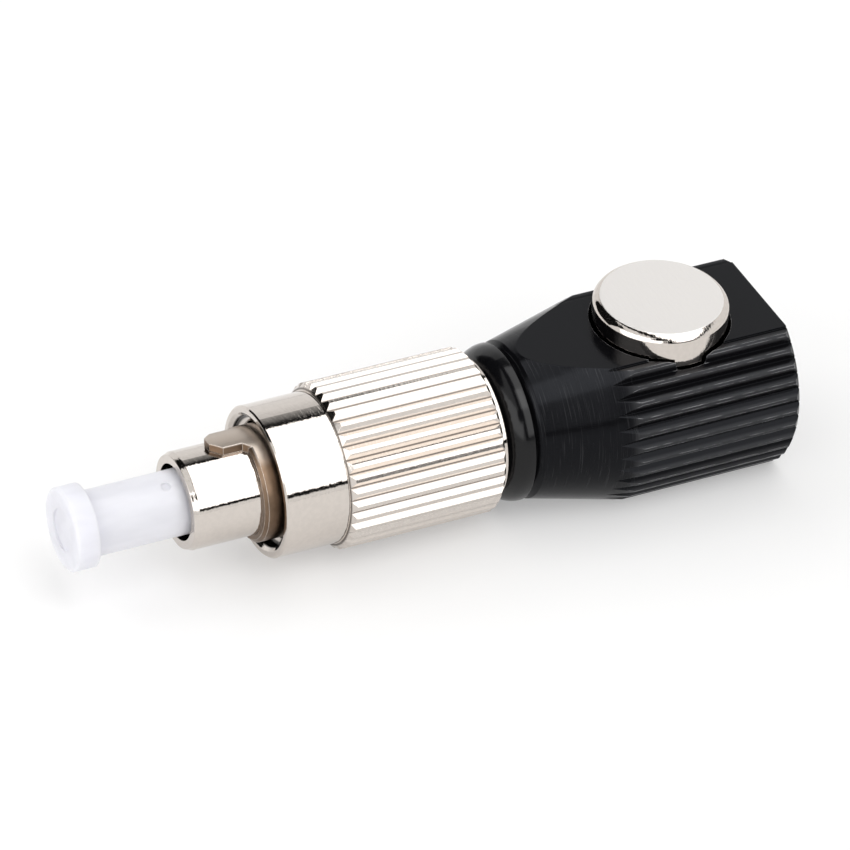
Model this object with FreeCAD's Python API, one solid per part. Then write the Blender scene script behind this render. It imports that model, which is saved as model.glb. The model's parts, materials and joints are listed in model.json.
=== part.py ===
import FreeCAD, Part
import math
import os

# A bare fibre adapter: a plug with a floating ceramic ferrule, a coupling nut that turns on it,
# and a fluted grip with a push button that lets go of the fibre.
# Millimetres. While a piece is made, the plug axis is the X axis and x = 0 is where the nose reaches
# full size. The nose points to -X, the fibre goes in at the +X end, and the button is on top.

# Fits between pieces
SEAT = 0.02
RUNNING = 0.1
SLIDING = 0.2

# Straight lengths in each turn of a spring
COIL_SIDES = 12

# Ferrule
FERRULE_R = 1.25
FERRULE_LENGTH = 12.5
FERRULE_REACH = 4.9
FERRULE_TIP_BEVEL = 0.35
CAPILLARY_R = 0.065
CAPILLARY_FUNNEL = 0.9
FLOAT_TRAVEL = 1.0

# Dust cap
CAP_LENGTH = 10.37
CAP_HEAD_R = 2.55
CAP_HEAD = 1.42
CAP_TUBE_R = 2.0
CAP_GRIP = 0.015
CAP_END_GAP = 0.4
CAP_DIMPLE_R = 1.3
CAP_DIMPLE = 0.1
CAP_MARK_R = 0.28
CAP_MARK = 0.12
CAP_MARK_X = -1.25
CAP_MARK_ANGLE = 18.0

# Plug nose
NOSE_LEAD_IN = 0.35
NOSE_R = 3.0
NOSE_WALL = 0.65
NOSE_EDGE = 0.15
NOSE_CAVITY = 4.0
NOSE_WEB = 1.0
NOSE_STOP_X = 12.3
NOSE_STOP = 1.4
NOSE_STOP_R = 3.5

# Key ring
KEY_RING_X = 3.95
KEY_RING_LENGTH = 1.7
KEY_RING_R = 3.5
KEY_RING_EDGE = 0.2
KEY_REACH = 2.1
KEY_WIDTH = 2.0
KEY_CORNER = 0.62
KEY_TURN = -11.5
KEY_FOOT = 0.25

# Coupling nut
NUT_FRONT_X = 4.8
NUT_REAR_X = 18.93
NUT_SLEEVE_R = 4.647
NUT_SLEEVE_LENGTH = 4.05
NUT_GRIP_R = 5.09
NUT_GROOVE_COUNT = 36
NUT_GROOVE_DEPTH = 0.3
NUT_GROOVE_SHARE = 0.76
NUT_REAR_EDGE = 0.2
NUT_MOUTH_EDGE = 0.1
NUT_THREAD_R = 4.0
NUT_LEAD_IN = 0.25
NUT_THREAD_LENGTH = 6.0
NUT_LIP = 3.9
NUT_TAIL_R = 4.45
NUT_TAIL_GAP = 0.14
NUT_TAIL_EDGE = 0.06

# Rear collar
COLLAR_X = 19.5
COLLAR_LENGTH = 1.45
COLLAR_R = 4.87
COLLAR_ROUND = 1.6
COLLAR_FRONT_SPIGOT = 4.3
COLLAR_REAR_SPIGOT = 3.4
COLLAR_SPIGOT_R = 3.0

# Ferrule flange and its spring
FLANGE_R = 2.15
FLANGE = 1.5
FLANGE_NOTCH = 0.8
FLANGE_NOTCH_DEPTH = 0.5
FLANGE_NOTCH_COUNT = 4
HUB_R = 1.65
HUB = 2.2
TAIL_R = 1.3
TAIL_BORE_R = 0.95
TAIL_GAP = 0.9
FLOAT_WIRE = 0.4
FLOAT_TURNS = 4.5

# Grip
GRIP_LENGTH = 17.15
GRIP_R = 6.35
GRIP_FRONT_EDGE = 0.6
GRIP_FRONT_R = 4.9
GRIP_CONE = 6.55
GRIP_REAR_EDGE = 0.3
GRIP_GROOVE_COUNT = 40
GRIP_GROOVE_DEPTH = 0.37
GRIP_GROOVE_SHARE = 0.84
GRIP_FLAT_Z = 4.96
ENTRY_R = 2.0
ENTRY_DEPTH = 1.3

# Guide tube
GUIDE_R = 0.75
GUIDE_BORE_R = 0.5
GUIDE_EDGE = 0.15
GUIDE_OVERLAP = 4.3
GUIDE_WINDOW = 4.0

# Push button and its spring
BUTTON_BACK = 6.79
BUTTON_R = 4.15
BUTTON_TOP_Z = 6.52
BUTTON_EDGE = 0.67
BUTTON_EDGE_TRIM = 0.033
BUTTON_BOTTOM_Z = -2.3
BUTTON_TRAVEL = 1.0
BUTTON_GAP = 0.17
BUTTON_STOP_GAP = 0.05
POCKET_FLOOR_Z = -4.0
JAW_WIDTH = 0.7
JAW_LENGTH = 3.2
JAW_TOP_Z = 0.3
RETURN_SEAT_R = 2.2
RETURN_SEAT = 0.8
RETURN_WIRE = 0.35
RETURN_TURNS = 2.5

# Positions that follow from the sizes
NOSE_BORE_R = NOSE_R - NOSE_WALL
WEB_REAR_X = NOSE_CAVITY + NOSE_WEB
COLLAR_REAR_X = COLLAR_X + COLLAR_LENGTH
SPRING_SEAT_X = COLLAR_X - COLLAR_FRONT_SPIGOT
GRIP_REAR_X = COLLAR_REAR_X + GRIP_LENGTH
GRIP_CONE_END_X = COLLAR_REAR_X + GRIP_CONE
BUTTON_X = GRIP_REAR_X - BUTTON_BACK
POCKET_R = BUTTON_R + BUTTON_GAP
CAP_REAR_X = NOSE_CAVITY - FLOAT_TRAVEL - SLIDING
CAP_FRONT_X = CAP_REAR_X - CAP_LENGTH
FERRULE_FRONT_X = -FERRULE_REACH
FERRULE_REAR_X = FERRULE_FRONT_X + FERRULE_LENGTH
FLANGE_REAR_X = WEB_REAR_X + FLANGE
HUB_REAR_X = FLANGE_REAR_X + HUB
TAIL_REAR_X = SPRING_SEAT_X - TAIL_GAP
GUIDE_FRONT_X = TAIL_REAR_X - GUIDE_OVERLAP
GUIDE_REAR_X = GRIP_REAR_X - ENTRY_DEPTH

# The adapter lies on the grip's lower flat and on two crests of the nut, one each side of its lowest groove.
REST_ANGLE = math.pi / NUT_GROOVE_COUNT * NUT_GROOVE_SHARE
REST_Z = -NUT_GRIP_R * math.cos(REST_ANGLE)

# The stored frame has its origin under the middle of the part, at the level of those two crests.
TO_FRAME = FreeCAD.Vector(-(CAP_FRONT_X + GRIP_REAR_X) / 2, 0, -REST_Z)

X_AXIS = FreeCAD.Vector(1, 0, 0)
Z_AXIS = FreeCAD.Vector(0, 0, 1)
ORIGIN = FreeCAD.Vector(0, 0, 0)


def turned(points):
    """A solid of revolution about the plug axis from a closed outline of (x, radius) points."""
    corners = [FreeCAD.Vector(x, 0, r) for x, r in points]
    outline = Part.makePolygon(corners + corners[:1])
    return Part.Face(outline).revolve(ORIGIN, X_AXIS, 360)


def rod(x0, x1, radius):
    """A round bar along the plug axis."""
    return Part.makeCylinder(radius, x1 - x0, FreeCAD.Vector(x0, 0, 0), X_AXIS)


def taper(x0, x1, r0, r1):
    """A cone along the plug axis."""
    return Part.makeCone(r0, r1, x1 - x0, FreeCAD.Vector(x0, 0, 0), X_AXIS)


def block(x0, x1, y0, y1, z0, z1):
    """A rectangular block between two corners."""
    return Part.makeBox(x1 - x0, y1 - y0, z1 - z0, FreeCAD.Vector(x0, y0, z0))


def rings(shape, centre, radius):
    """The round edges of a shape that have one centre and one radius."""
    found = []
    for edge in shape.Edges:
        curve = edge.Curve
        if isinstance(curve, Part.Circle) and abs(curve.Radius - radius) < 1e-4:
            if curve.Center.distanceToPoint(centre) < 1e-4:
                found.append(edge)
    return found


def grooves(count, crest_r, depth, share, x0, x1):
    """V grooves around the plug axis, the first one at the top."""
    pitch = 2 * math.pi / count
    half = crest_r * pitch * share / 2
    root = crest_r - depth
    outer = crest_r + depth
    corners = [
        FreeCAD.Vector(x0, 0, root),
        FreeCAD.Vector(x0, 2 * half, outer),
        FreeCAD.Vector(x0, -2 * half, outer),
    ]
    face = Part.Face(Part.makePolygon(corners + corners[:1]))
    groove = face.extrude(FreeCAD.Vector(x1 - x0, 0, 0))
    tools = []
    for i in range(count):
        tool = groove.copy()
        tool.rotate(ORIGIN, X_AXIS, 360.0 * i / count)
        tools.append(tool)
    return Part.makeCompound(tools)


def coil(radius, wire, turns, length):
    """A compression spring of square wire along Z, in straight lengths, with ends ground flat."""
    half = wire / 2
    steps = round(turns * COIL_SIDES)
    sections = []
    for i in range(steps + 1):
        z = length * i / steps
        corners = [
            FreeCAD.Vector(radius - half, 0, z - half),
            FreeCAD.Vector(radius + half, 0, z - half),
            FreeCAD.Vector(radius + half, 0, z + half),
            FreeCAD.Vector(radius - half, 0, z + half),
        ]
        section = Part.makePolygon(corners + corners[:1])
        section.rotate(ORIGIN, Z_AXIS, 360.0 * i / COIL_SIDES)
        sections.append(section)
    spring = Part.makeLoft(sections, True, True)
    return spring.common(Part.makeCylinder(radius + wire, length))


def make_dust_cap():
    head_rear = CAP_FRONT_X + CAP_HEAD
    head = rod(CAP_FRONT_X, head_rear, CAP_HEAD_R)
    cap = head.fuse(rod(head_rear, CAP_REAR_X, CAP_TUBE_R)).removeSplitter()
    cap = cap.cut(rod(FERRULE_FRONT_X - CAP_END_GAP, CAP_REAR_X, FERRULE_R + CAP_GRIP))
    cap = cap.cut(rod(CAP_FRONT_X, CAP_FRONT_X + CAP_DIMPLE, CAP_DIMPLE_R))
    mark_base = FreeCAD.Vector(CAP_MARK_X, 0, CAP_TUBE_R - CAP_MARK)
    mark = Part.makeCylinder(CAP_MARK_R, CAP_TUBE_R, mark_base, Z_AXIS)
    mark.rotate(ORIGIN, X_AXIS, CAP_MARK_ANGLE)
    cap = cap.cut(mark)
    return cap.makeChamfer(CAP_HEAD * 0.1, rings(cap, X_AXIS * CAP_FRONT_X, CAP_HEAD_R))


def make_ferrule():
    ferrule = rod(FERRULE_FRONT_X, FERRULE_REAR_X, FERRULE_R)
    tip = rings(ferrule, X_AXIS * FERRULE_FRONT_X, FERRULE_R)
    ferrule = ferrule.makeChamfer(FERRULE_TIP_BEVEL, tip)
    ferrule = ferrule.cut(rod(FERRULE_FRONT_X, FERRULE_REAR_X, CAPILLARY_R))
    funnel = taper(FERRULE_REAR_X - CAPILLARY_FUNNEL, FERRULE_REAR_X, CAPILLARY_R, GUIDE_BORE_R)
    return ferrule.cut(funnel)


def make_ferrule_flange():
    """The flange is fixed on the ferrule's rear end, and its tail slides over the guide tube."""
    seat_r = FERRULE_R + SEAT
    flange = turned([
        (WEB_REAR_X, seat_r),
        (WEB_REAR_X, FLANGE_R),
        (FLANGE_REAR_X, FLANGE_R),
        (FLANGE_REAR_X, HUB_R),
        (HUB_REAR_X, HUB_R),
        (HUB_REAR_X, TAIL_R),
        (TAIL_REAR_X, TAIL_R),
        (TAIL_REAR_X, TAIL_BORE_R),
        (FERRULE_REAR_X, TAIL_BORE_R),
        (FERRULE_REAR_X, seat_r),
    ])
    inner = FLANGE_R - FLANGE_NOTCH_DEPTH
    for i in range(FLANGE_NOTCH_COUNT):
        notch = block(WEB_REAR_X, FLANGE_REAR_X, -FLANGE_NOTCH / 2, FLANGE_NOTCH / 2, inner, 2 * FLANGE_R)
        notch.rotate(ORIGIN, X_AXIS, 360.0 * (i + 0.5) / FLANGE_NOTCH_COUNT)
        flange = flange.cut(notch)
    return flange


def make_ferrule_spring():
    radius = (HUB_R + NOSE_BORE_R) / 2
    spring = coil(radius, FLOAT_WIRE, FLOAT_TURNS, SPRING_SEAT_X - FLANGE_REAR_X)
    spring.rotate(ORIGIN, FreeCAD.Vector(0, 1, 0), 90)
    spring.translate(FreeCAD.Vector(FLANGE_REAR_X, 0, 0))
    return spring


def make_plug_nose():
    """One turned sleeve: an open cavity, a web the flange rests on, and the spring chamber behind it."""
    stop_rear = NOSE_STOP_X + NOSE_STOP
    hole_r = FERRULE_R + RUNNING
    return turned([
        (-NOSE_LEAD_IN, NOSE_BORE_R),
        (-NOSE_LEAD_IN, NOSE_R - NOSE_EDGE),
        (0, NOSE_R),
        (NOSE_STOP_X, NOSE_R),
        (NOSE_STOP_X, NOSE_STOP_R),
        (stop_rear, NOSE_STOP_R),
        (stop_rear, NOSE_R),
        (COLLAR_X, NOSE_R),
        (COLLAR_X, NOSE_BORE_R),
        (WEB_REAR_X, NOSE_BORE_R),
        (WEB_REAR_X, hole_r),
        (NOSE_CAVITY, hole_r),
        (NOSE_CAVITY, NOSE_BORE_R),
    ])


def make_key_ring():
    """A ring pressed on the nose with a forward key, which is stored a little off the button's line."""
    bore_r = NOSE_R + SEAT
    rear = KEY_RING_X + KEY_RING_LENGTH
    tip = KEY_RING_X - KEY_REACH
    half = KEY_WIDTH / 2
    ring = rod(KEY_RING_X, rear, KEY_RING_R)
    ring = ring.makeChamfer(KEY_RING_EDGE, rings(ring, X_AXIS * KEY_RING_X, KEY_RING_R))
    plan = [
        FreeCAD.Vector(tip, -half + KEY_CORNER, 0),
        FreeCAD.Vector(tip, half - KEY_CORNER, 0),
        FreeCAD.Vector(tip + KEY_CORNER, half, 0),
        FreeCAD.Vector(KEY_RING_X - KEY_FOOT, half, 0),
        FreeCAD.Vector(KEY_RING_X + KEY_FOOT, half + 2 * KEY_FOOT, 0),
        FreeCAD.Vector(KEY_RING_X + KEY_FOOT, -half - 2 * KEY_FOOT, 0),
        FreeCAD.Vector(KEY_RING_X - KEY_FOOT, -half, 0),
        FreeCAD.Vector(tip + KEY_CORNER, -half, 0),
    ]
    key = Part.Face(Part.makePolygon(plan + plan[:1])).extrude(FreeCAD.Vector(0, 0, KEY_RING_R + SEAT))
    key = key.common(rod(tip, rear, KEY_RING_R))
    key.rotate(ORIGIN, X_AXIS, KEY_TURN)
    return ring.fuse(key).cut(rod(tip, rear, bore_r)).removeSplitter()


def make_coupling_nut():
    """A smooth threaded sleeve, a knurled grip and a plain tail in one, with a lip that runs on the nose."""
    shoulder = NUT_FRONT_X + NUT_SLEEVE_LENGTH
    root_r = NUT_GRIP_R - NUT_GROOVE_DEPTH
    lip_x = NUT_REAR_X - NUT_LIP
    tail_x = COLLAR_X - NUT_TAIL_GAP
    thread_end = NUT_FRONT_X + NUT_THREAD_LENGTH
    nut = turned([
        (NUT_FRONT_X, NUT_THREAD_R + NUT_LEAD_IN),
        (NUT_FRONT_X, NUT_SLEEVE_R - NUT_MOUTH_EDGE),
        (NUT_FRONT_X + NUT_MOUTH_EDGE, NUT_SLEEVE_R),
        (shoulder, NUT_SLEEVE_R),
        (shoulder, root_r),
        (shoulder + NUT_GROOVE_DEPTH, NUT_GRIP_R),
        (NUT_REAR_X - NUT_REAR_EDGE, NUT_GRIP_R),
        (NUT_REAR_X, NUT_GRIP_R - NUT_REAR_EDGE),
        (NUT_REAR_X, NUT_TAIL_R),
        (tail_x - NUT_TAIL_EDGE, NUT_TAIL_R),
        (tail_x, NUT_TAIL_R - NUT_TAIL_EDGE),
        (tail_x, NOSE_R + RUNNING),
        (lip_x, NOSE_R + RUNNING),
        (lip_x, NOSE_STOP_R + SLIDING),
        (thread_end, NOSE_STOP_R + SLIDING),
        (thread_end, NUT_THREAD_R),
        (NUT_FRONT_X + NUT_LEAD_IN, NUT_THREAD_R),
    ])
    knurl = grooves(NUT_GROOVE_COUNT, NUT_GRIP_R, NUT_GROOVE_DEPTH, NUT_GROOVE_SHARE,
                    shoulder, NUT_REAR_X + NUT_GROOVE_DEPTH)
    return nut.cut(knurl)


def make_rear_collar():
    """The collar joins the nose to the grip, and the end of its front spigot carries the ferrule spring."""
    front_r = NOSE_BORE_R - SEAT
    bore_r = TAIL_R + SLIDING
    dome_x = COLLAR_REAR_X - COLLAR_ROUND * 1.02
    dome = rod(dome_x, COLLAR_REAR_X, COLLAR_R)
    dome = dome.makeFillet(COLLAR_ROUND, rings(dome, X_AXIS * dome_x, COLLAR_R))
    collar = dome.common(rod(COLLAR_X, COLLAR_REAR_X, COLLAR_R))
    collar = collar.fuse(rod(SPRING_SEAT_X, COLLAR_X, front_r))
    collar = collar.fuse(rod(COLLAR_REAR_X, COLLAR_REAR_X + COLLAR_REAR_SPIGOT, COLLAR_SPIGOT_R))
    return collar.cut(rod(SPRING_SEAT_X, COLLAR_REAR_X + COLLAR_REAR_SPIGOT, bore_r)).removeSplitter()


def make_grip_body():
    """A fluted bar with a conical front, a flat above and below, and a cross pocket for the button."""
    front = COLLAR_REAR_X
    past_front = front - GRIP_FRONT_EDGE
    past_rear = GRIP_REAR_X + GRIP_FRONT_EDGE
    grip = turned([
        (front, 0),
        (front, GRIP_FRONT_R - GRIP_FRONT_EDGE),
        (front + GRIP_FRONT_EDGE, GRIP_FRONT_R),
        (GRIP_CONE_END_X, GRIP_R),
        (GRIP_REAR_X - GRIP_REAR_EDGE, GRIP_R),
        (GRIP_REAR_X, GRIP_R - GRIP_REAR_EDGE),
        (GRIP_REAR_X, 0),
    ])
    flutes = grooves(GRIP_GROOVE_COUNT, GRIP_R, GRIP_GROOVE_DEPTH, GRIP_GROOVE_SHARE, front, past_rear)
    grip = grip.cut(flutes)
    grip = grip.cut(block(past_front, past_rear, -GRIP_R, GRIP_R, GRIP_FLAT_Z, 2 * GRIP_R))
    grip = grip.cut(block(past_front, past_rear, -GRIP_R, GRIP_R, -2 * GRIP_R, -GRIP_FLAT_Z))
    pocket_base = FreeCAD.Vector(BUTTON_X, 0, POCKET_FLOOR_Z)
    grip = grip.cut(Part.makeCylinder(POCKET_R, 2 * GRIP_R, pocket_base, Z_AXIS))
    grip = grip.cut(rod(front, front + COLLAR_REAR_SPIGOT, COLLAR_SPIGOT_R + SEAT))
    grip = grip.cut(rod(front, GRIP_REAR_X, GUIDE_R + SEAT))
    return grip.cut(taper(GUIDE_REAR_X, GRIP_REAR_X, GUIDE_R + SEAT, ENTRY_R))


def make_guide_tube():
    """The tube crosses the button. It is cut away there up to a flat roof, which is the clamp's fixed jaw."""
    tube = rod(GUIDE_FRONT_X, GUIDE_REAR_X, GUIDE_R)
    tube = tube.cut(rod(GUIDE_FRONT_X, GUIDE_REAR_X, GUIDE_BORE_R))
    tube = tube.cut(taper(GUIDE_REAR_X - GUIDE_EDGE, GUIDE_REAR_X, GUIDE_BORE_R, GUIDE_BORE_R + GUIDE_EDGE))
    half = GUIDE_WINDOW / 2
    return tube.cut(block(BUTTON_X - half, BUTTON_X + half, -GUIDE_R, GUIDE_R, -GUIDE_R, GUIDE_BORE_R))


def make_push_button():
    """A plunger with a cross slot for the guide tube and a jaw that stands up into the tube's window."""
    floor_z = -GUIDE_R - BUTTON_STOP_GAP
    slot_half = GUIDE_R + SLIDING
    arch_z = BUTTON_TRAVEL
    place = FreeCAD.Vector(BUTTON_X, 0, 0)
    base = place + Z_AXIS * BUTTON_BOTTOM_Z
    height = BUTTON_TOP_Z - BUTTON_BOTTOM_Z
    crown_r = BUTTON_R + BUTTON_EDGE_TRIM
    crown_top = place + Z_AXIS * (BUTTON_TOP_Z + BUTTON_EDGE_TRIM)
    crown = Part.makeCylinder(crown_r, height + BUTTON_EDGE_TRIM, base, Z_AXIS)
    crown = crown.makeFillet(BUTTON_EDGE, rings(crown, crown_top, crown_r))
    button = crown.common(Part.makeCylinder(BUTTON_R, height, base, Z_AXIS))
    slot = block(BUTTON_X - 2 * BUTTON_R, BUTTON_X + 2 * BUTTON_R, -slot_half, slot_half, floor_z, arch_z)
    arch = rod(BUTTON_X - 2 * BUTTON_R, BUTTON_X + 2 * BUTTON_R, slot_half)
    arch.translate(Z_AXIS * arch_z)
    button = button.cut(slot.fuse(arch))
    jaw_r = JAW_WIDTH / 2
    jaw_x0 = BUTTON_X - JAW_LENGTH / 2
    jaw_x1 = BUTTON_X + JAW_LENGTH / 2
    jaw = block(jaw_x0, jaw_x1, -jaw_r, jaw_r, floor_z - JAW_WIDTH, JAW_TOP_Z - jaw_r)
    jaw_crest = rod(jaw_x0, jaw_x1, jaw_r)
    jaw_crest.translate(Z_AXIS * (JAW_TOP_Z - jaw_r))
    button = button.fuse(jaw.fuse(jaw_crest)).removeSplitter()
    return button.cut(Part.makeCylinder(RETURN_SEAT_R, RETURN_SEAT, base, Z_AXIS))


def make_button_spring():
    radius = RETURN_SEAT_R - SLIDING - RETURN_WIRE / 2
    top_z = BUTTON_BOTTOM_Z + RETURN_SEAT
    spring = coil(radius, RETURN_WIRE, RETURN_TURNS, top_z - POCKET_FLOOR_Z)
    spring.translate(FreeCAD.Vector(BUTTON_X, 0, POCKET_FLOOR_Z))
    return spring


PIECES = {
    "dust_cap": make_dust_cap,
    "ferrule": make_ferrule,
    "ferrule_flange": make_ferrule_flange,
    "ferrule_spring": make_ferrule_spring,
    "plug_nose": make_plug_nose,
    "key_ring": make_key_ring,
    "coupling_nut": make_coupling_nut,
    "rear_collar": make_rear_collar,
    "grip_body": make_grip_body,
    "guide_tube": make_guide_tube,
    "push_button": make_push_button,
    "button_spring": make_button_spring,
}

os.makedirs("parts", exist_ok=True)
for name, make in PIECES.items():
    piece = make()
    if piece.ShapeType != "Solid":
        piece = piece.Solids[0]
    piece.translate(TO_FRAME)
    piece.exportStep("parts/" + name + ".step")
    box = piece.BoundBox
    print(name, piece.isValid(), len(piece.Solids), round(piece.Volume, 3),
          [round(v, 3) for v in (box.XMin, box.XMax, box.YMin, box.YMax, box.ZMin, box.ZMax)])
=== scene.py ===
"""Finishes, springs, thread and stage of a bare fibre adapter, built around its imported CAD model."""

import json
import math

import bpy
from mathutils import Matrix, Vector

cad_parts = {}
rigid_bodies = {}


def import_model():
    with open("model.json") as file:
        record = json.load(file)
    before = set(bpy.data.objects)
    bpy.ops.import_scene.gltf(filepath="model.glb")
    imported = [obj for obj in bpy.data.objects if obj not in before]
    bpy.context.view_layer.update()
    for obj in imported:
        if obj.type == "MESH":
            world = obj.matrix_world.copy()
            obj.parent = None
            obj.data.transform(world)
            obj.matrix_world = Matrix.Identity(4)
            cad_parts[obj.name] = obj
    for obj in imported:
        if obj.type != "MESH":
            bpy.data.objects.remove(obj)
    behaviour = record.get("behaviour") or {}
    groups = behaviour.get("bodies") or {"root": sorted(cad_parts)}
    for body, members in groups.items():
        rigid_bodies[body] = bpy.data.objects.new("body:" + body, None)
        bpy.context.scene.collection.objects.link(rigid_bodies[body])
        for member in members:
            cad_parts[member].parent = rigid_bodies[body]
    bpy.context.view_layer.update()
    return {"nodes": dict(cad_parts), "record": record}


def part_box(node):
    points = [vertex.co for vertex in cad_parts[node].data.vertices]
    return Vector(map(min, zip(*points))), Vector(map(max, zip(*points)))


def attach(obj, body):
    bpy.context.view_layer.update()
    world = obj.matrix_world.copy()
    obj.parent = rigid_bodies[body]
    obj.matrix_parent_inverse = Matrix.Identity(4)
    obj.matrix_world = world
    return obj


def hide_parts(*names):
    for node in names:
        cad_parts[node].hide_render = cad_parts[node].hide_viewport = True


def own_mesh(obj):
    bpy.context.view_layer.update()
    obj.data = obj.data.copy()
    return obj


bl_info = {
    "name": "Bare Fibre Adapter",
    "version": (1, 0, 0),
    "blender": (4, 5, 0),
    "location": "View3D > Sidebar > Adapter",
    "description": "Finishes a bare fibre adapter and sets it on a plain stage",
    "category": "Object",
}

for leftover in list(bpy.data.objects):
    bpy.data.objects.remove(leftover)
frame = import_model()

# Sizes in the solids that the finishes follow, in metres
MM = 0.001
KNURL_DEPTH = 0.3 * MM
POCKET_GAP = 0.17 * MM
CONE_LENGTH = 6.6 * MM

# How new meshes are joined and shaded
MERGE_WITHIN = 0.001 * MM
SMOOTH_ANGLE = math.radians(35)

# Places that follow from the frame, in metres
NODES = frame["nodes"]
NUT_LOW, NUT_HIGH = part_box("coupling_nut")
GRIP_LOW, GRIP_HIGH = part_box("grip_body")
BUTTON_LOW, BUTTON_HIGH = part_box("push_button")
NOSE_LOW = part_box("plug_nose")[0]
KEY_LOW, KEY_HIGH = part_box("key_ring")
CAP_LOW, CAP_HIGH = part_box("dust_cap")
AXIS_Z = (CAP_LOW.z + CAP_HIGH.z) / 2
GRIP_R = (GRIP_HIGH.y - GRIP_LOW.y) / 2
KEY_R = (KEY_HIGH.y - KEY_LOW.y) / 2
KNURL_ROOT_R = (NUT_HIGH.y - NUT_LOW.y) / 2 - KNURL_DEPTH
BUTTON_MID = (BUTTON_LOW + BUTTON_HIGH) / 2
BUTTON_R = (BUTTON_HIGH.x - BUTTON_LOW.x) / 2
POCKET_R = BUTTON_R + POCKET_GAP
CONE_END_X = GRIP_LOW.x + CONE_LENGTH


class Value:
    """A shader socket that takes part in Python arithmetic."""

    def __init__(self, finish, socket):
        self.finish = finish
        self.socket = socket

    def math(self, operation, *operands):
        return self.finish.node("ShaderNodeMath", {"operation": operation}, dict(enumerate(operands)))

    def __add__(self, other):
        return self.math("ADD", self, other)

    def __sub__(self, other):
        return self.math("SUBTRACT", self, other)

    def __rsub__(self, other):
        return self.math("SUBTRACT", other, self)

    def __mul__(self, other):
        return self.math("MULTIPLY", self, other)

    def __pow__(self, other):
        return self.math("POWER", self, other)

    __radd__ = __add__
    __rmul__ = __mul__

    def ramp(self, low, high):
        """A smooth step from 0 at low to 1 at high."""
        return self.finish.node(
            "ShaderNodeMapRange",
            {"interpolation_type": "SMOOTHSTEP"},
            {"Value": self, "From Min": low, "From Max": high},
        )


class Finish:
    """A node tree under construction. It starts with a Principled surface where it belongs to a material."""

    def __init__(self, tree):
        self.tree = tree
        self.surface = tree.nodes.get("Principled BSDF")

    @classmethod
    def material(cls, name):
        material = bpy.data.materials.new(name)
        material.use_nodes = True
        finish = cls(material.node_tree)
        finish.result = material
        return finish

    def feed(self, socket, value):
        if isinstance(value, Value):
            self.tree.links.new(value.socket, socket)
        else:
            socket.default_value = value

    def node(self, kind, settings=None, inputs=None, output=0):
        """Adds a node, sets its settings, feeds its sockets and returns one of its outputs."""
        node = self.tree.nodes.new(kind)
        for key, value in (settings or {}).items():
            setattr(node, key, value)
        for key, value in (inputs or {}).items():
            self.feed(node.inputs[key], value)
        return Value(self, node.outputs[output])

    def paint(self, sockets):
        for name, value in sockets.items():
            self.feed(self.surface.inputs[name], value)

    def mix(self, factor, first, second):
        """A colour between two colours."""
        return self.node("ShaderNodeMix", {"data_type": "RGBA"}, {0: factor, 6: first, 7: second}, output=2)

    def place(self):
        """The point on the surface, in metres in the part's own frame."""
        return self.node("ShaderNodeTexCoord", output="Object")

    def part(self, vector, axis):
        return self.node("ShaderNodeSeparateXYZ", inputs={0: vector}, output=axis)

    def noise(self, vector, scales, detail=2.0):
        """Noise from 0 to 1 with its own number of waves per metre along each axis."""
        stretched = self.node("ShaderNodeMapping", inputs={"Vector": vector, "Scale": scales})
        return self.node("ShaderNodeTexNoise", inputs={"Vector": stretched, "Scale": 1.0, "Detail": detail})

    def eased_edges(self, radius):
        """The normal of the same surface with its edges rounded off."""
        return self.node("ShaderNodeBevel", {"samples": 6}, {"Radius": radius})

    def bump(self, height, depth, normal):
        inputs = {"Strength": 1.0, "Distance": depth, "Height": height, "Normal": normal}
        return self.node("ShaderNodeBump", inputs=inputs)

    def edge_mask(self, normal, low, high):
        """1 on edges, where the rounded normal leaves the true one, and 0 on faces."""
        true_normal = self.node("ShaderNodeNewGeometry", output="Normal")
        both = {0: normal, 1: true_normal}
        along = self.node("ShaderNodeVectorMath", {"operation": "DOT_PRODUCT"}, both, output="Value")
        return (1 - along).ramp(low, high)

    def distance(self, first, second):
        """The length of two offsets at a right angle."""
        return (first * first + second * second) ** 0.5

    def axis_distance(self, point):
        """How far the surface is from the plug's axis."""
        return self.distance(self.part(point, "Y"), self.part(point, "Z") - AXIS_Z)

    def button_distance(self, point):
        """How far the surface is from the button's axis."""
        return self.distance(self.part(point, "X") - BUTTON_MID.x, self.part(point, "Y"))


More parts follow.
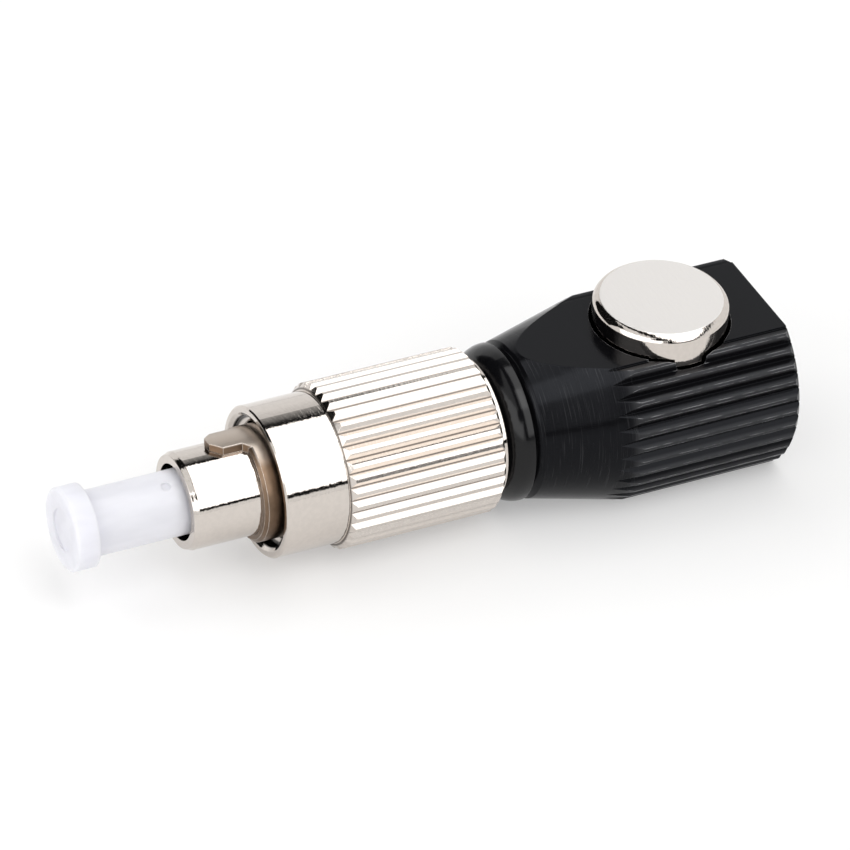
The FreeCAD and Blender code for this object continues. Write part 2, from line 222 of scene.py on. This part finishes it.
class PlatedLook(bpy.types.PropertyGroup):
    """Nickel plate on the nose, nut and button."""

    colour: bpy.props.FloatVectorProperty(
        name="Nickel", description="Colour of the nickel plate", subtype="COLOR", size=4,
        min=0, max=1, default=(0.64, 0.59, 0.545, 1),
    )
    roughness: bpy.props.FloatProperty(
        name="Polish", description="Roughness of the polished plate", min=0, max=1, default=0.06,
    )
    satin: bpy.props.FloatProperty(
        name="Satin", description="Roughness of the button's flat top", min=0, max=1, default=0.34,
    )
    top_colour: bpy.props.FloatVectorProperty(
        name="Button Top", description="Colour of the button's flat top", subtype="COLOR", size=4,
        min=0, max=1, default=(0.80, 0.775, 0.75, 1),
    )
    edge: bpy.props.FloatProperty(
        name="Edge", description="Rounding of the plated edges", subtype="DISTANCE", unit="LENGTH",
        min=0, default=0.05 * MM,
    )
    # Duller plate and painted shade in the knurl's grooves.
    root_shade_colour: bpy.props.FloatVectorProperty(
        name="Knurl Root", description="Colour of the dull plate at the knurl's roots",
        subtype="COLOR", size=4, min=0, max=1, default=(0.17, 0.148, 0.132, 1),
    )
    # Painted shade inside the nut: its plate is shown near black there.
    bore_shade_colour: bpy.props.FloatVectorProperty(
        name="Thread Root", description="Colour of the dark plate inside the nut", subtype="COLOR", size=4,
        min=0, max=1, default=(0.045, 0.04, 0.037, 1),
    )
    key_colour: bpy.props.FloatVectorProperty(
        name="Key Ring", description="Colour of the dark key ring", subtype="COLOR", size=4,
        min=0, max=1, default=(0.205, 0.14, 0.095, 1),
    )
    # Painted highlight: the key's top is shown lighter than the ring.
    key_top_highlight_colour: bpy.props.FloatVectorProperty(
        name="Key Top", description="Colour of the key's rubbed top", subtype="COLOR", size=4,
        min=0, max=1, default=(0.50, 0.43, 0.37, 1),
    )


class GripLook(bpy.types.PropertyGroup):
    """Black anodised grip and collar."""

    colour: bpy.props.FloatVectorProperty(
        name="Black", description="Colour of the anodised grip", subtype="COLOR", size=4,
        min=0, max=1, default=(0.003, 0.003, 0.0036, 1),
    )
    worn: bpy.props.FloatVectorProperty(
        name="Worn Edge", description="Colour of the worn crests", subtype="COLOR", size=4,
        min=0, max=1, default=(0.62, 0.62, 0.64, 1),
    )
    roughness: bpy.props.FloatProperty(
        name="Roughness", description="Roughness of the anodised skin", min=0, max=1, default=0.17,
    )
    gloss: bpy.props.FloatProperty(
        name="Collar Gloss", description="Roughness of the glossy collar", min=0, max=1, default=0.16,
    )
    edge: bpy.props.FloatProperty(
        name="Edge", description="Rounding of the flutes' edges", subtype="DISTANCE", unit="LENGTH",
        min=0, default=0.05 * MM,
    )


class CapLook(bpy.types.PropertyGroup):
    """Translucent dust cap and the pieces inside."""

    colour: bpy.props.FloatVectorProperty(
        name="Cap", description="Colour of the dust cap's plastic", subtype="COLOR", size=4,
        min=0, max=1, default=(0.73, 0.73, 0.78, 1),
    )
    depth: bpy.props.FloatProperty(
        name="Depth", description="How far light spreads in the plastic", subtype="DISTANCE", unit="LENGTH",
        min=0, default=1.3 * MM,
    )
    ceramic: bpy.props.FloatVectorProperty(
        name="Ferrule", description="Colour of the ceramic ferrule", subtype="COLOR", size=4,
        min=0, max=1, default=(0.90, 0.89, 0.85, 1),
    )
    steel: bpy.props.FloatVectorProperty(
        name="Steel", description="Colour of the springs and the guide tube", subtype="COLOR", size=4,
        min=0, max=1, default=(0.56, 0.56, 0.57, 1),
    )


class ThreadSizes(bpy.types.PropertyGroup):
    """Inside thread of the coupling nut."""

    pitch: bpy.props.FloatProperty(
        name="Pitch", description="Distance between turns", subtype="DISTANCE", unit="LENGTH",
        min=0.1 * MM, default=0.75 * MM,
    )
    outer_r: bpy.props.FloatProperty(
        name="Outer Radius", description="Radius of the nut's bore, where the ridge stands",
        subtype="DISTANCE", unit="LENGTH", min=0, default=4.02 * MM,
    )
    inner_r: bpy.props.FloatProperty(
        name="Inner Radius", description="Radius at the ridge's crest", subtype="DISTANCE", unit="LENGTH",
        min=0, default=3.62 * MM,
    )
    start: bpy.props.FloatProperty(
        name="Start", description="Distance from the nut's mouth to the first turn", subtype="DISTANCE",
        unit="LENGTH", min=0, default=0.55 * MM,
    )
    turns: bpy.props.IntProperty(name="Turns", description="Number of turns", min=1, default=6)


class StageSetup(bpy.types.PropertyGroup):
    """Floor, light and camera."""

    softbox_level: bpy.props.FloatProperty(
        name="Softbox", description="Brightness of the softbox, where 1 is white", min=0, default=1.5,
    )
    core_level: bpy.props.FloatProperty(
        name="Softbox Core", description="What the middle of the softbox adds", min=0, default=2.0,
    )
    side_level: bpy.props.FloatProperty(
        name="Side Light", description="Brightness of the softbox beside the camera", min=0, default=1.55,
    )
    back_level: bpy.props.FloatProperty(
        name="Back Light", description="Light that the backdrop throws back", min=0, default=1.9,
    )
    room_light: bpy.props.FloatProperty(
        name="Room Light", description="Light that the white room sheds, where 1 is white",
        min=0, default=0.3,
    )
    floor_white: bpy.props.FloatProperty(
        name="Floor White", description="Share of plain white in the floor as it is seen",
        min=0, max=1, default=0.3,
    )
    lens: bpy.props.FloatProperty(
        name="Lens", description="Focal length for a sensor of 36 mm", subtype="DISTANCE_CAMERA",
        min=1, default=252.38,
    )
    azimuth: bpy.props.FloatProperty(
        name="Azimuth", description="Turn of the camera about the vertical", subtype="ANGLE",
        default=math.radians(-27.773),
    )
    elevation: bpy.props.FloatProperty(
        name="Elevation", description="Height angle of the camera", subtype="ANGLE",
        default=math.radians(37.469),
    )
    roll: bpy.props.FloatProperty(
        name="Roll", description="Roll of the camera", subtype="ANGLE", default=math.radians(3.866),
    )
    distance: bpy.props.FloatProperty(
        name="Distance", description="Distance of the camera from the nose",
        subtype="DISTANCE", unit="LENGTH", default=350.362 * MM,
    )
    shift_right: bpy.props.FloatProperty(
        name="Shift Right", description="How far right of the nose the picture's middle is",
        subtype="DISTANCE", unit="LENGTH", default=14.371 * MM,
    )
    shift_up: bpy.props.FloatProperty(
        name="Shift Up", description="How far above the nose the picture's middle is",
        subtype="DISTANCE", unit="LENGTH", default=4.457 * MM,
    )


class AdapterSettings(bpy.types.PropertyGroup):
    """All sizes and colours of the adapter's looks."""

    plated: bpy.props.PointerProperty(type=PlatedLook)
    grip: bpy.props.PointerProperty(type=GripLook)
    cap: bpy.props.PointerProperty(type=CapLook)
    thread: bpy.props.PointerProperty(type=ThreadSizes)
    stage: bpy.props.PointerProperty(type=StageSetup)


def dress(names, finish):
    """Gives CAD nodes a finish."""
    for name in names:
        NODES[name].data.materials.clear()
        NODES[name].data.materials.append(finish.result)


def shade(colour, share):
    """The same colour, darker or lighter by a share."""
    return [min(1, channel * share) for channel in colour[:3]] + [1]


def plate_finish(name, look):
    """Bright plate with fine turning marks around the axis and a slightly uneven skin."""
    finish = Finish.material(name)
    point = finish.place()
    mark_depth = 0.010 * MM
    grain_depth = 0.0022 * MM
    swing = 0.03
    marks = finish.noise(point, (7000, 1400, 1400), detail=3.0)
    grain = finish.noise(point, (3600, 3600, 3600), detail=3.0)
    normal = finish.bump(marks, mark_depth, finish.eased_edges(look.edge))
    finish.colour = finish.mix(grain.ramp(0.35, 0.65), shade(look.colour, 0.96), tuple(look.colour))
    finish.roughness = grain * swing + (look.roughness - swing / 2)
    finish.paint({
        "Base Color": finish.colour,
        "Metallic": 1.0,
        "Roughness": finish.roughness,
        "Normal": finish.bump(grain, grain_depth, normal),
    })
    return finish


class ADAPTER_OT_nickel(bpy.types.Operator):
    """Plates the nose and the coupling nut with bright nickel"""

    bl_idname = "adapter.nickel"
    bl_label = "Plate Nose and Nut"

    def execute(self, context):
        look = context.scene.adapter.plated
        dress(["plug_nose"], plate_finish("bright_nickel", look))
        nut = plate_finish("knurl_nickel", look)
        out = nut.axis_distance(nut.place())
        reach = 0.09 * MM
        bore_fade = 0.06 * MM
        knurl_dullness = 0.08
        # The knurl's roots are mixed to a darker colour: partly duller plate, partly painted shade.
        above_low = out.ramp(KNURL_ROOT_R - reach, KNURL_ROOT_R - 0.05 * MM)
        above_high = out.ramp(KNURL_ROOT_R + 0.01 * MM, KNURL_ROOT_R + reach)
        plate = nut.mix(above_low * (1 - above_high), nut.colour, tuple(look.root_shade_colour))
        bore_r = context.scene.adapter.thread.outer_r
        # Inside the bore the plate is mixed to a near black: painted shade.
        inside = 1 - out.ramp(bore_r, bore_r + bore_fade)
        knurled = out.ramp(KNURL_ROOT_R - reach, KNURL_ROOT_R)
        nut.paint({
            "Base Color": nut.mix(inside, plate, tuple(look.bore_shade_colour)),
            "Roughness": knurled * knurl_dullness + nut.roughness,
        })
        dress(["coupling_nut"], nut)
        return {"FINISHED"}


class ADAPTER_OT_button(bpy.types.Operator):
    """Plates the push button, with a satin top inside its polished rim"""

    bl_idname = "adapter.button"
    bl_label = "Plate Button"

    def execute(self, context):
        look = context.scene.adapter.plated
        finish = plate_finish("button_nickel", look)
        rim_drop = 0.02 * MM
        top_drop = 0.004 * MM
        top = finish.part(finish.place(), "Z").ramp(BUTTON_HIGH.z - rim_drop, BUTTON_HIGH.z - top_drop)
        finish.paint({
            "Base Color": finish.mix(top, finish.colour, tuple(look.top_colour)),
            "Roughness": top * (look.satin - look.roughness) + finish.roughness,
        })
        dress(["push_button"], finish)
        return {"FINISHED"}


class ADAPTER_OT_key(bpy.types.Operator):
    """Gives the key ring its dark, satin metal"""

    bl_idname = "adapter.key"
    bl_label = "Finish Key Ring"

    def execute(self, context):
        look = context.scene.adapter.plated
        finish = Finish.material("dark_key_metal")
        point = finish.place()
        satin = 0.28
        rubbed_by = 0.12
        swing = 0.08
        cloud = finish.noise(point, (1500, 1500, 1500), detail=4.0)
        normal = finish.eased_edges(look.edge)
        worn = finish.edge_mask(normal, 0.006, 0.05)
        body = finish.mix(cloud.ramp(0.3, 0.7), shade(look.key_colour, 0.75), tuple(look.key_colour))
        # The outer top of the key is mixed to a lighter colour: a painted highlight.
        outside = finish.axis_distance(point).ramp(KEY_R - 0.10 * MM, KEY_R - 0.04 * MM)
        top = finish.part(point, "Z").ramp(AXIS_Z + 0.78 * KEY_R, AXIS_Z + 0.97 * KEY_R)
        body = finish.mix(outside * top, body, tuple(look.key_top_highlight_colour))
        finish.paint({
            "Base Color": finish.mix(worn, body, tuple(look.colour)),
            "Metallic": 1.0,
            "Roughness": satin - worn * rubbed_by + cloud * swing,
            "Normal": normal,
        })
        dress(["key_ring"], finish)
        return {"FINISHED"}


class ADAPTER_OT_grip(bpy.types.Operator):
    """Anodises the grip black, with turning marks on its cone and worn crests"""

    bl_idname = "adapter.grip"
    bl_label = "Anodise Grip"

    def execute(self, context):
        look = context.scene.adapter.grip
        finish = Finish.material("black_anodised_skin")
        point = finish.place()
        bare_share = 0.5
        cut_share = 0.025
        rubbed_share = 0.045
        ring_swing = 0.08
        skin_swing = 0.04
        ring_depth = 0.003 * MM
        rings = finish.noise(point, (16000, 250, 250), detail=3.0)
        skin = finish.noise(point, (6000, 6000, 6000))
        milled = finish.part(point, "Z").ramp(GRIP_HIGH.z - 0.03 * MM, GRIP_HIGH.z - 0.01 * MM)
        eased = finish.eased_edges(look.edge)
        out = finish.axis_distance(point)
        outside = out.ramp(GRIP_R - 0.10 * MM, GRIP_R - 0.05 * MM)
        pocket = 1 - finish.button_distance(point).ramp(POCKET_R + 0.04 * MM, POCKET_R + 0.10 * MM)
        broken = finish.noise(point, (900, 2500, 2500), detail=3.0).ramp(0.40, 0.60)
        bare = finish.edge_mask(eased, 0.008, 0.06) * outside.math("MAXIMUM", outside, pocket) * broken
        cone = 1 - finish.part(point, "X").ramp(CONE_END_X - 0.6 * MM, CONE_END_X)
        cuts = finish.noise(point, (13000, 420, 420), detail=2.0).ramp(0.56, 0.74) * cone * (1 - milled)
        rubbed = out.ramp(GRIP_R - 0.20 * MM, GRIP_R - 0.02 * MM) * (1 - milled)
        worn = bare * bare_share + cuts * cut_share + rubbed * rubbed_share
        middle = (ring_swing + skin_swing) / 2
        finish.paint({
            "Base Color": finish.mix(worn, tuple(look.colour), tuple(look.worn)),
            "Metallic": worn,
            "Roughness": rings * ring_swing + skin * skin_swing + (look.roughness - middle),
            "Specular IOR Level": 0.12,
            "Specular Tint": (0.86, 0.90, 1.0, 1),
            "Normal": finish.bump(rings * (1 - milled), ring_depth, eased),
        })
        dress(["grip_body"], finish)
        return {"FINISHED"}


class ADAPTER_OT_collar(bpy.types.Operator):
    """Gives the rear collar a glossy black skin"""

    bl_idname = "adapter.collar"
    bl_label = "Gloss Collar"

    def execute(self, context):
        look = context.scene.adapter.grip
        finish = Finish.material("black_gloss_skin")
        swing = 0.06
        mark_depth = 0.0012 * MM
        marks = finish.noise(finish.place(), (5000, 900, 900), detail=3.0)
        finish.paint({
            "Base Color": tuple(look.colour),
            "Roughness": marks * swing + (look.gloss - swing / 2),
            "Specular IOR Level": 0.28,
            "Normal": finish.bump(marks, mark_depth, finish.eased_edges(look.edge)),
        })
        dress(["rear_collar"], finish)
        return {"FINISHED"}


class ADAPTER_OT_cap(bpy.types.Operator):
    """Makes the dust cap of translucent white plastic"""

    bl_idname = "adapter.cap"
    bl_label = "Mould Dust Cap"

    def execute(self, context):
        look = context.scene.adapter.cap
        finish = Finish.material("cap_plastic_translucent")
        point = finish.place()
        sheen = 0.34
        swing = 0.08
        moulded_edge = 0.12 * MM
        flow = finish.noise(point, (300, 900, 900), detail=2.0)
        finish.paint({
            "Base Color": finish.mix(flow.ramp(0.35, 0.65), tuple(look.colour), shade(look.colour, 1.05)),
            "Roughness": flow * swing + sheen,
            "Subsurface Weight": 0.85,
            "Subsurface Radius": (1.0, 1.0, 1.0),
            "Subsurface Scale": look.depth,
            "IOR": 1.5,
            "Normal": finish.eased_edges(moulded_edge),
        })
        dress(["dust_cap"], finish)
        return {"FINISHED"}


class ADAPTER_OT_inside(bpy.types.Operator):
    """Finishes the ferrule, its flange, the springs and the guide tube"""

    bl_idname = "adapter.inside"
    bl_label = "Finish Inside Pieces"

    def execute(self, context):
        look = context.scene.adapter.cap
        ceramic = Finish.material("ferrule_ceramic")
        cloud = ceramic.noise(ceramic.place(), (700, 700, 700))
        ceramic.paint({
            "Base Color": ceramic.mix(cloud, shade(look.ceramic, 0.96), tuple(look.ceramic)),
            "Roughness": cloud * 0.05 + 0.12,
            "IOR": 2.1,
        })
        dress(["ferrule"], ceramic)
        steel = Finish.material("drawn_steel")
        streak = steel.noise(steel.place(), (2500, 2500, 2500), detail=3.0)
        steel.paint({
            "Base Color": steel.mix(streak, shade(look.steel, 0.85), tuple(look.steel)),
            "Metallic": 1.0,
            "Roughness": streak * 0.12 + 0.22,
        })
        dress(["ferrule_flange", "ferrule_spring", "guide_tube", "button_spring"], steel)
        return {"FINISHED"}


class ADAPTER_OT_springs(bpy.types.Operator):
    """Puts merged, smooth-shaded copies of the two springs on their joints' parents"""

    bl_idname = "adapter.springs"
    bl_label = "Fit Springs"

    def execute(self, context):
        for joint in frame["record"]["behaviour"]["joints"]:
            for spring in joint.get("deforming_nodes", []):
                self.fit(context, joint, spring)
        return {"FINISHED"}

    def fit(self, context, joint, spring):
        """A merged, smooth-shaded copy of the spring's mesh on the joint's parent, in place of the hidden
        CAD node.
        """
        node = spring["node"]
        letter = spring["mode"][-1]
        axis = Vector([float(letter == other) for other in "xyz"])
        bpy.ops.object.select_all(action="DESELECT")
        wire = bpy.data.objects.new(node + "_wire", NODES[node].data.copy())
        context.collection.objects.link(wire)
        context.view_layer.objects.active = wire
        wire.select_set(True)
        bpy.ops.object.mode_set(mode="EDIT")
        bpy.ops.mesh.select_all(action="SELECT")
        bpy.ops.mesh.remove_doubles(threshold=MERGE_WITHIN)
        bpy.ops.object.mode_set(mode="OBJECT")
        bpy.ops.object.shade_smooth_by_angle(angle=SMOOTH_ANGLE)
        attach(wire, joint["parent"])
        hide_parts(node)
        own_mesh(wire)


class ADAPTER_OT_thread(bpy.types.Operator):
    """Models the coupling nut's inside thread as one helical ridge"""

    bl_idname = "adapter.thread"
    bl_label = "Cut Nut Thread"

    def execute(self, context):
        sizes = context.scene.adapter.thread
        height = sizes.outer_r - sizes.inner_r
        middle_r = (sizes.outer_r + sizes.inner_r) / 2
        foot_width = 0.78 * sizes.pitch
        crest_share = 0.2
        steps_per_turn = 72
        bpy.ops.object.select_all(action="DESELECT")
        bpy.ops.mesh.primitive_plane_add(size=1.0)
        ridge = context.object
        ridge.name = "nut_thread"
        ridge.data.name = "nut_thread"
        bpy.ops.object.mode_set(mode="EDIT")
        bpy.ops.transform.resize(value=(foot_width, height, 1.0))
        bpy.ops.mesh.select_all(action="DESELECT")
        bpy.ops.object.mode_set(mode="OBJECT")
        for vertex in ridge.data.vertices:
            vertex.select = vertex.co.y < 0
        bpy.ops.object.mode_set(mode="EDIT")
        bpy.ops.transform.resize(value=(crest_share, 1.0, 1.0))
        bpy.ops.mesh.select_all(action="SELECT")
        bpy.ops.transform.translate(value=(0.0, middle_r, 0.0))
        bpy.ops.mesh.delete(type="ONLY_FACE")
        bpy.ops.object.mode_set(mode="OBJECT")
        screw = ridge.modifiers.new("turns", "SCREW")
        screw.axis = "X"
        screw.angle = 2 * math.pi
        screw.screw_offset = sizes.pitch
        screw.iterations = sizes.turns
        screw.steps = screw.render_steps = steps_per_turn
        bpy.ops.object.modifier_apply(modifier=screw.name)
        bpy.ops.object.mode_set(mode="EDIT")
        bpy.ops.mesh.select_all(action="SELECT")
        bpy.ops.mesh.remove_doubles(threshold=MERGE_WITHIN)
        bpy.ops.mesh.select_all(action="DESELECT")
        bpy.ops.mesh.select_non_manifold()
        bpy.ops.mesh.edge_face_add()
        bpy.ops.mesh.select_all(action="SELECT")
        bpy.ops.mesh.normals_make_consistent(inside=False)
        bpy.ops.transform.translate(value=(NUT_LOW.x + sizes.start, 0.0, AXIS_Z))
        bpy.ops.object.mode_set(mode="OBJECT")
        bpy.ops.object.shade_smooth_by_angle(angle=SMOOTH_ANGLE)
        look = context.scene.adapter.plated
        finish = plate_finish("thread_nickel", look)
        # The thread's valleys, towards the bore wall, are mixed to the same near black: painted shade.
        root = finish.axis_distance(finish.place()).ramp(middle_r - 0.04 * MM, middle_r + 0.08 * MM)
        finish.paint({"Base Color": finish.mix(root, finish.colour, tuple(look.bore_shade_colour))})
        ridge.data.materials.append(finish.result)
        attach(ridge, "nut")
        return {"FINISHED"}


class ADAPTER_OT_stage(bpy.types.Operator):
    """Sets the floor, the softbox, the room and the camera"""

    bl_idname = "adapter.stage"
    bl_label = "Set Stage"

    def execute(self, context):
        setup = context.scene.adapter.stage
        self.black = self.matt_black("stage_black")
        self.lay_floor(setup)
        self.hang_softbox(context, setup)
        self.stand_card(context)
        self.stand_flag(context)
        self.light_room(context, setup)
        self.aim_camera(context, setup)
        context.scene.view_settings.view_transform = "Standard"
        return {"FINISHED"}

    def matt_black(self, name):
        """The finish of stage pieces that only darken what mirrors them."""
        finish = Finish.material(name)
        finish.paint({"Base Color": (0.01, 0.01, 0.01, 1), "Roughness": 1.0, "Specular IOR Level": 0.0})
        return finish

    def lay_floor(self, setup):
        """A white table just under the part, which keeps the part's shadow."""
        width = 6.0
        gap = 0.01 * MM
        bpy.ops.object.select_all(action="DESELECT")
        bpy.ops.mesh.primitive_plane_add(size=width, location=(0, 0, -gap))
        floor = bpy.context.object
        floor.name = "floor"
        finish = Finish.material("white_table")
        finish.paint({"Base Color": (0.95, 0.945, 0.94, 1), "Roughness": 0.9, "Specular IOR Level": 0.0})
        white = finish.node("ShaderNodeEmission", inputs={"Color": (1, 1, 1, 1), "Strength": 1.0})
        seen = self.seen_directly(finish) * setup.floor_white
        lit = Value(finish, finish.surface.outputs[0])
        shown = finish.node("ShaderNodeMixShader", inputs={0: seen, 1: lit, 2: white})
        finish.feed(finish.tree.nodes["Material Output"].inputs["Surface"], shown)
        floor.data.materials.append(finish.result)

    def seen_directly(self, finish):
        """1 for rays from the camera, and for those that mirror or see through to what they meet."""
        path = [finish.node("ShaderNodeLightPath", output=name)
                for name in ("Is Camera Ray", "Is Glossy Ray", "Is Transmission Ray")]
        return path[0].math("MAXIMUM", path[0].math("MAXIMUM", path[0], path[1]), path[2])

    def facing(self, direction, away):
        """A place in a direction from the part, and the turn that faces the part from there."""
        outward = Vector(direction).normalized()
        return outward * away, outward.to_track_quat("Z", "Y").to_euler()

    def hang_light(self, context, name, centre, turn, size, level):
        """An area light that a mirror shows at a level where 1 is white."""
        width, height = size
        bpy.ops.object.light_add(type="AREA", location=centre, rotation=turn)
        lamp = context.object
        lamp.name = name
        lamp.data.shape = "RECTANGLE"
        lamp.data.size = width
        lamp.data.size_y = height
        lamp.data.energy = level * math.pi * width * height
        lamp.visible_camera = False
        return lamp

    def hang_softbox(self, context, setup):
        """A tall softbox in a black rim, one beside the camera, and light that the backdrop throws back."""
        away = 0.6
        bounce_away = 0.5
        aside = 0.38 * away
        lean = math.radians(25.5)
        size = (0.90 * away, 2.6 * away)
        core_size = (0.26, 0.30)
        side_size = (0.80, 0.40)
        bounce_size = (0.60, 0.40)
        rim_width = 0.2
        core_nearer = 0.99
        core_shift = Vector((0.2, 0, 0))
        turn = (lean, 0, 0)
        centre = Vector((aside, -away * math.sin(lean), away * math.cos(lean)))
        self.hang_light(context, "softbox", centre, turn, size, setup.softbox_level)
        core = centre * core_nearer - core_shift
        self.hang_light(context, "softbox_core", core, turn, core_size, setup.core_level)
        side, side_turn = self.facing((-0.74, -0.50, 0.46), away)
        self.hang_light(context, "side_softbox", side, side_turn, side_size, setup.side_level)
        back, back_turn = self.facing((-0.45, 0.62, 0.64), bounce_away)
        bounce = self.hang_light(context, "back_bounce", back, back_turn, bounce_size, setup.back_level)
        bounce.visible_glossy = False

        bpy.ops.object.select_all(action="DESELECT")
        bpy.ops.mesh.primitive_plane_add(size=1.0, location=centre, rotation=turn)
        rim = context.object
        rim.name = "softbox_rim"
        rim.scale = (size[0] + 2 * rim_width, size[1] + 2 * rim_width, 1)
        bpy.ops.object.transform_apply(location=False, rotation=False, scale=True)
        bpy.ops.object.mode_set(mode="EDIT")
        bpy.ops.mesh.select_all(action="SELECT")
        bpy.ops.mesh.inset(thickness=rim_width)
        bpy.ops.mesh.delete(type="FACE")
        bpy.ops.object.mode_set(mode="OBJECT")
        rim.visible_camera = False
        rim.data.materials.append(self.black.result)

    def stand_card(self, context):
        """A black card behind the nose, which polished metal shows as its dark side."""
        width = 0.6
        away = 0.6
        place, turn = self.facing((-0.58, 0.63, 0.52), away)
        bpy.ops.object.select_all(action="DESELECT")
        bpy.ops.mesh.primitive_plane_add(size=width, location=place, rotation=turn)
        card = context.object
        card.name = "dark_card"
        card.visible_camera = False
        card.data.materials.append(self.black.result)

    def stand_flag(self, context):
        """A small card close behind the nose and nut, which their tops mirror as a soft dark band."""
        place = (0, 0.05, 0.06)
        size = (0.12, 0.072)
        slant = 0.27
        lower_fade = (-0.034, 0.030)
        end_fade = (0.024, 0.027)
        bpy.ops.object.select_all(action="DESELECT")
        bpy.ops.mesh.primitive_plane_add(size=1.0, location=place, rotation=(math.pi / 2, 0, 0))
        flag = context.object
        flag.name = "flag"
        flag.scale = (size[0], size[1], 1)
        bpy.ops.object.transform_apply(location=False, rotation=False, scale=True)
        finish = self.matt_black("stage_flag")
        point = finish.place()
        height = finish.part(point, "Y")
        along = finish.part(point, "X") - height * slant
        finish.paint({"Alpha": height.ramp(*lower_fade) * (1 - along.ramp(*end_fade))})
        flag.data.materials.append(finish.result)
        flag.visible_camera = False
        flag.visible_diffuse = False
        flag.visible_shadow = False

    def light_room(self, context, setup):
        """A white room, whose light is weaker than it looks."""
        room = bpy.data.worlds.new("room")
        room.use_nodes = True
        context.scene.world = room
        finish = Finish(room.node_tree)
        background = room.node_tree.nodes["Background"]
        seen = self.seen_directly(finish)
        finish.feed(background.inputs["Strength"], seen * (1 - setup.room_light) + setup.room_light)
        background.inputs["Color"].default_value = (1, 1, 1, 1)

    def aim_camera(self, context, setup):
        """The camera looks at the plug from the front and above, with the axis rising to the right."""
        turn, height, roll = setup.azimuth, setup.elevation, setup.roll
        aim_inset = 0.35 * MM
        body_radius = 0.06
        body_behind = 0.01
        level = Vector((math.cos(turn), math.sin(turn), 0))
        towards = Vector((math.sin(turn), -math.cos(turn), 0))
        back = math.cos(height) * towards + Vector((0, 0, math.sin(height)))
        rise = back.cross(level)
        right = math.cos(roll) * level + math.sin(roll) * rise
        up = math.cos(roll) * rise - math.sin(roll) * level
        aim = Vector((NOSE_LOW.x + aim_inset, 0, AXIS_Z))
        place = aim + setup.shift_right * right + setup.shift_up * up + setup.distance * back
        bpy.ops.object.camera_add()
        camera = context.object
        camera.name = "camera"
        camera.data.sensor_width = 36.0
        camera.data.lens = setup.lens
        camera.data.clip_start = 0.01
        camera.matrix_world = Matrix((
            (right.x, up.x, back.x, place.x),
            (right.y, up.y, back.y, place.y),
            (right.z, up.z, back.z, place.z),
            (0, 0, 0, 1),
        ))
        context.scene.camera = camera

        bpy.ops.object.select_all(action="DESELECT")
        bpy.ops.mesh.primitive_circle_add(
            vertices=48, radius=body_radius, fill_type="NGON", location=place + body_behind * back,
            rotation=camera.matrix_world.to_euler(),
        )
        body = context.object
        body.name = "camera_body"
        body.visible_camera = False
        body.data.materials.append(self.black.result)


OPERATORS = (
    ADAPTER_OT_nickel,
    ADAPTER_OT_button,
    ADAPTER_OT_key,
    ADAPTER_OT_grip,
    ADAPTER_OT_collar,
    ADAPTER_OT_cap,
    ADAPTER_OT_inside,
    ADAPTER_OT_springs,
    ADAPTER_OT_thread,
    ADAPTER_OT_stage,
)


class ADAPTER_PT_panel(bpy.types.Panel):
    """Lists the adapter's steps and settings"""

    bl_idname = "ADAPTER_PT_panel"
    bl_label = "Bare Fibre Adapter"
    bl_space_type = "VIEW_3D"
    bl_region_type = "UI"
    bl_category = "Adapter"

    def draw(self, context):
        for operator in OPERATORS:
            self.layout.operator(operator.bl_idname)
        for name in AdapterSettings.__annotations__:
            box = self.layout.box()
            group = getattr(context.scene.adapter, name)
            for setting in group.__annotations__:
                box.prop(group, setting)


SETTINGS = (PlatedLook, GripLook, CapLook, ThreadSizes, StageSetup, AdapterSettings)
CLASSES = SETTINGS + OPERATORS + (ADAPTER_PT_panel,)


def register():
    for cls in CLASSES:
        bpy.utils.register_class(cls)
    bpy.types.Scene.adapter = bpy.props.PointerProperty(type=AdapterSettings)


def unregister():
    del bpy.types.Scene.adapter
    for cls in reversed(CLASSES):
        bpy.utils.unregister_class(cls)


def main():
    register()
    bpy.ops.adapter.nickel()
    bpy.ops.adapter.button()
    bpy.ops.adapter.key()
    bpy.ops.adapter.grip()
    bpy.ops.adapter.collar()
    bpy.ops.adapter.cap()
    bpy.ops.adapter.inside()
    bpy.ops.adapter.springs()
    bpy.ops.adapter.thread()
    bpy.ops.adapter.stage()


if __name__ == "__main__":
    main()
